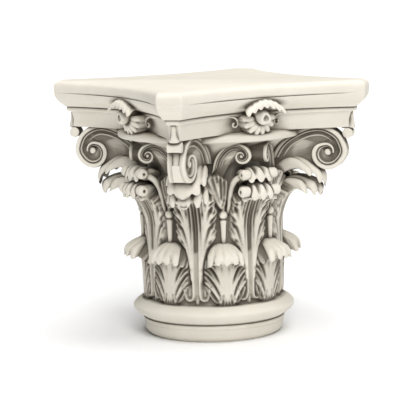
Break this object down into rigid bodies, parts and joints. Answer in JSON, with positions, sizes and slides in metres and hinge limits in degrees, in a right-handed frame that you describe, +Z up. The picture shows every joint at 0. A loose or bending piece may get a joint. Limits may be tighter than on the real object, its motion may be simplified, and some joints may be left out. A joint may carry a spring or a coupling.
{
  "type": "corinthian capital",
  "caption": "Corinthian capital cast in ivory resin-bonded stone, with rows of acanthus leaves, corner and inner scrolls, a flower on each side and a hollow-sided moulded slab.",
  "frame": {"origin": "middle of the flat underside", "axes": "+Z up along the capital's axis; the slab's hollow sides face +X, -X, +Y and -Y, and its horns lie on the diagonals"},
  "size_m": [0.4406, 0.4406, 0.46],
  "materials": {
    "cast_stone": "matt ivory resin-bonded stone with a grey-brown wash in the hollows"
  },
  "bodies": {
    "root": {"corinthian_capital": "cast_stone"}
  },
  "joints": []
}
